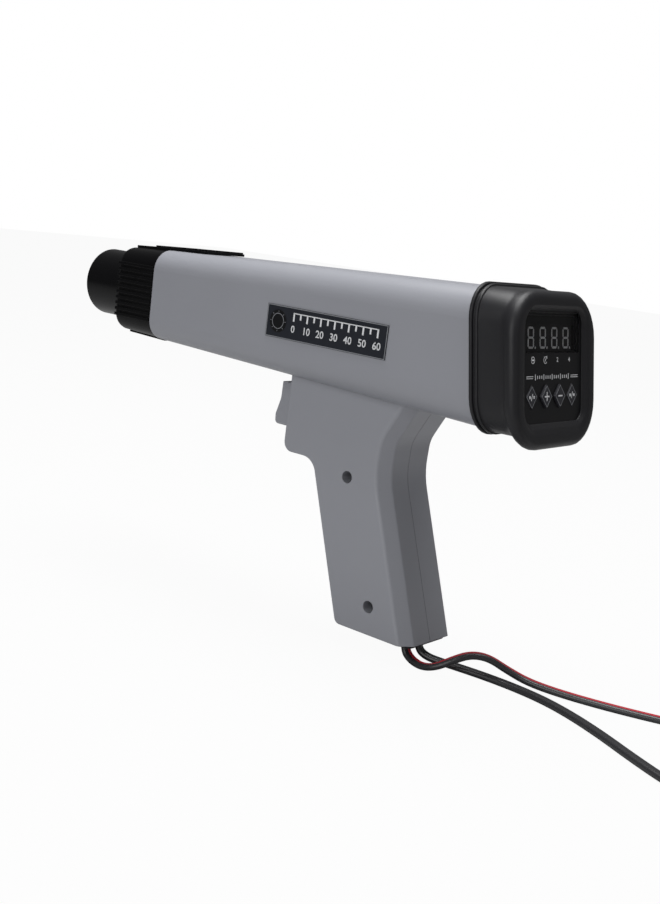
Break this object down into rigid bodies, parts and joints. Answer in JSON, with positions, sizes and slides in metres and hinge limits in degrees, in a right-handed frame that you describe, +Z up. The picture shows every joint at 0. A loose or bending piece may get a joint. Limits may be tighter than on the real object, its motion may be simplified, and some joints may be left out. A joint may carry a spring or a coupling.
{
  "type": "timing light",
  "caption": "Pistol-grip ignition timing strobe with a lensed nose, a rear display with keys, a power lead with two battery clips and a pick-up lead with a clamp.",
  "frame": {"origin": "middle of the pistol grip, where a hand holds it", "axes": "-X along the barrel to the lens, +X to the display, +Z up across the barrel, XZ the plane where the two halves of the case meet"},
  "size_m": [0.6321, 0.0828, 0.1875],
  "materials": {
    "shell": "satin grey moulding, fine grain",
    "collar": "black moulding, fine grain",
    "tube": "black, smooth",
    "boot": "black rubber",
    "plate": "printed plate, satin",
    "steel": "bright steel",
    "lens": "clear moulded lens",
    "window": "dark red clear window",
    "mirror": "vacuum plated",
    "ceramic": "white socket",
    "flash_glass": "quartz tube",
    "board": "green circuit board",
    "part": "moulded electronic part",
    "can": "sleeved can",
    "core": "laminated or ferrite core",
    "copper": "enamelled winding",
    "panel": "black display panel",
    "key": "rubber key",
    "led": "red lamp",
    "cable": "black twin lead",
    "red_cable": "red wire",
    "red_clip": "red moulding",
    "black_clip": "black moulding"
  },
  "bodies": {
    "gun": {"black_wire": "cable", "board_parts": "part", "cord_relief": "boot", "digit_display": "part", "display_board": "board", "display_frame": "panel", "display_window": "window", "flash_tube": "flash_glass", "front_collar": "collar", "grip_screws": "steel", "indicator_lamps": "led", "key_switches": "part", "lead_split": "cable", "left_shell": "shell", "lens": "lens", "lens_ring": "tube", "main_board": "board", "name_plate": "plate", "negative_clip_body": "black_clip", "negative_clip_pin": "steel", "negative_clip_spring": "steel", "nose_tube": "tube", "pickup_clamp_body": "black_clip", "pickup_clamp_pin": "steel", "pickup_clamp_spring": "steel", "pickup_coil": "cable", "pickup_core_fixed": "core", "pickup_lead": "cable", "pickup_tail": "cable", "positive_clip_body": "red_clip", "positive_clip_pin": "steel", "positive_clip_spring": "steel", "power_coil": "cable", "power_lead": "cable", "power_tail": "cable", "rear_boot": "boot", "red_wire": "red_cable", "reflector": "mirror", "right_shell": "shell", "storage_capacitor": "can", "transformer": "core", "trigger_coil": "copper", "trigger_spring": "steel", "trigger_switch": "part", "tube_socket": "ceramic"},
    "trigger": {"trigger": "shell", "switch_plunger": "part"},
    "mode_key": {"mode_key": "key"},
    "plus_key": {"plus_key": "key"},
    "minus_key": {"minus_key": "key"},
    "function_key": {"function_key": "key"},
    "positive_jaw": {"positive_clip_jaw": "red_clip"},
    "negative_jaw": {"negative_clip_jaw": "black_clip"},
    "clamp_jaw": {"pickup_clamp_jaw": "black_clip", "pickup_core_moving": "core"}
  },
  "joints": [
    {"name": "trigger_pull", "type": "slide", "parent": "gun", "child": "trigger", "axis": [1, 0, 0], "range_m": [0, 0.0045], "stiffness_N_per_m": 700, "springref_m": -0.004, "deforming": ["trigger_spring"]},
    {"name": "mode_key_press", "type": "slide", "parent": "gun", "child": "mode_key", "axis": [-0.9859, 0, -0.1675], "range_m": [0, 0.0005], "stiffness_N_per_m": 2500, "springref_m": -0.0004},
    {"name": "plus_key_press", "type": "slide", "parent": "gun", "child": "plus_key", "axis": [-0.9859, 0, -0.1675], "range_m": [0, 0.0005], "stiffness_N_per_m": 2500, "springref_m": -0.0004},
    {"name": "minus_key_press", "type": "slide", "parent": "gun", "child": "minus_key", "axis": [-0.9859, 0, -0.1675], "range_m": [0, 0.0005], "stiffness_N_per_m": 2500, "springref_m": -0.0004},
    {"name": "function_key_press", "type": "slide", "parent": "gun", "child": "function_key", "axis": [-0.9859, 0, -0.1675], "range_m": [0, 0.0005], "stiffness_N_per_m": 2500, "springref_m": -0.0004},
    {"name": "positive_clip_open", "type": "hinge", "parent": "gun", "child": "positive_jaw", "pos_m": [0.322, -0.016, -0.0437], "axis": [0, 0, -1], "range_deg": [0, 30], "stiffness_Nm_per_rad": 0.4, "springref_deg": -17.19},
    {"name": "negative_clip_open", "type": "hinge", "parent": "gun", "child": "negative_jaw", "pos_m": [0.322, 0.022, -0.0437], "axis": [0, 0, -1], "range_deg": [0, 30], "stiffness_Nm_per_rad": 0.4, "springref_deg": -17.19},
    {"name": "pickup_clamp_open", "type": "hinge", "parent": "gun", "child": "clamp_jaw", "pos_m": [0.22, 0, -0.0417], "axis": [0, 0, -1], "range_deg": [0, 20], "stiffness_Nm_per_rad": 0.4, "springref_deg": -17.19}
  ]
}
